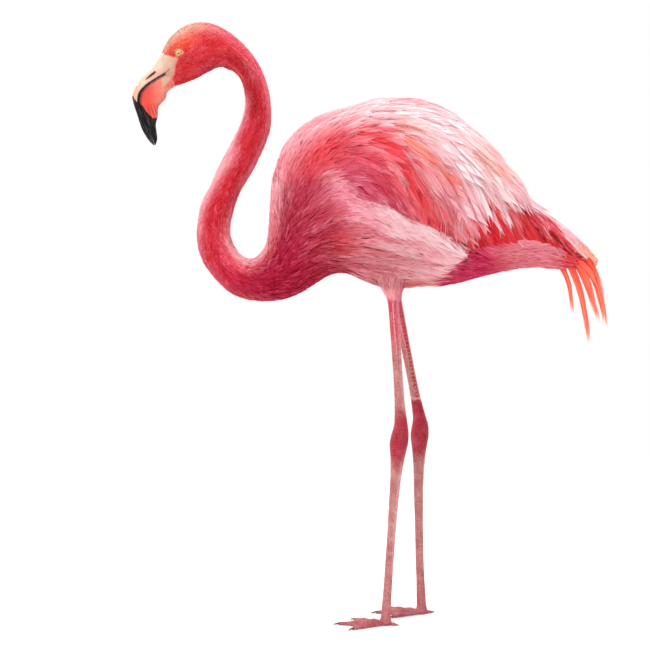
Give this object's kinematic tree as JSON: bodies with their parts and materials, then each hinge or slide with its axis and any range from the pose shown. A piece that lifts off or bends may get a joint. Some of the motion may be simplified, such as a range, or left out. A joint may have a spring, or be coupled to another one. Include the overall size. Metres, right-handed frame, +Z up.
{
  "type": "flamingo",
  "caption": "Life-size standing flamingo with an S-curved neck, bent bill, folded wings, drooping plumes and webbed feet, a still display model.",
  "frame": {"origin": "on the floor under the middle of the bird's overall box, which lies between its feet", "axes": "+Z up, the bird faces -X, its left side towards -Y"},
  "size_m": [0.7793, 0.235, 0.9905],
  "materials": {
    "neck_plumage": "short crimson-pink feathers, matte",
    "body_plumage": "rose to pale pink body feathers, matte",
    "wing_plumage": "blush pink wing feathers with coral streaks, soft sheen",
    "red_plumes": "scarlet plumes, soft sheen",
    "upper_bill": "pale horn with a black tip, satin",
    "lower_bill": "coral horn with a black tip, satin",
    "eye": "wet, pale amber with a dark pupil",
    "leg_skin": "scaled dusty pink skin, satin"
  },
  "bodies": {
    "root": {"head": "neck_plumage", "neck_1": "neck_plumage", "neck_2": "neck_plumage", "neck_3": "neck_plumage", "neck_4": "neck_plumage", "neck_5": "neck_plumage", "trunk": "body_plumage", "tail": "body_plumage", "thigh_left": "body_plumage", "thigh_right": "body_plumage", "wing_left": "wing_plumage", "wing_right": "wing_plumage", "plumes_left": "red_plumes", "plumes_right": "red_plumes", "bill_upper": "upper_bill", "bill_lower": "lower_bill", "eye_left": "eye", "eye_right": "eye", "shin_left": "leg_skin", "shin_right": "leg_skin", "ankle_left": "leg_skin", "ankle_right": "leg_skin", "tarsus_left": "leg_skin", "tarsus_right": "leg_skin", "foot_left": "leg_skin", "foot_right": "leg_skin"}
  },
  "joints": []
}
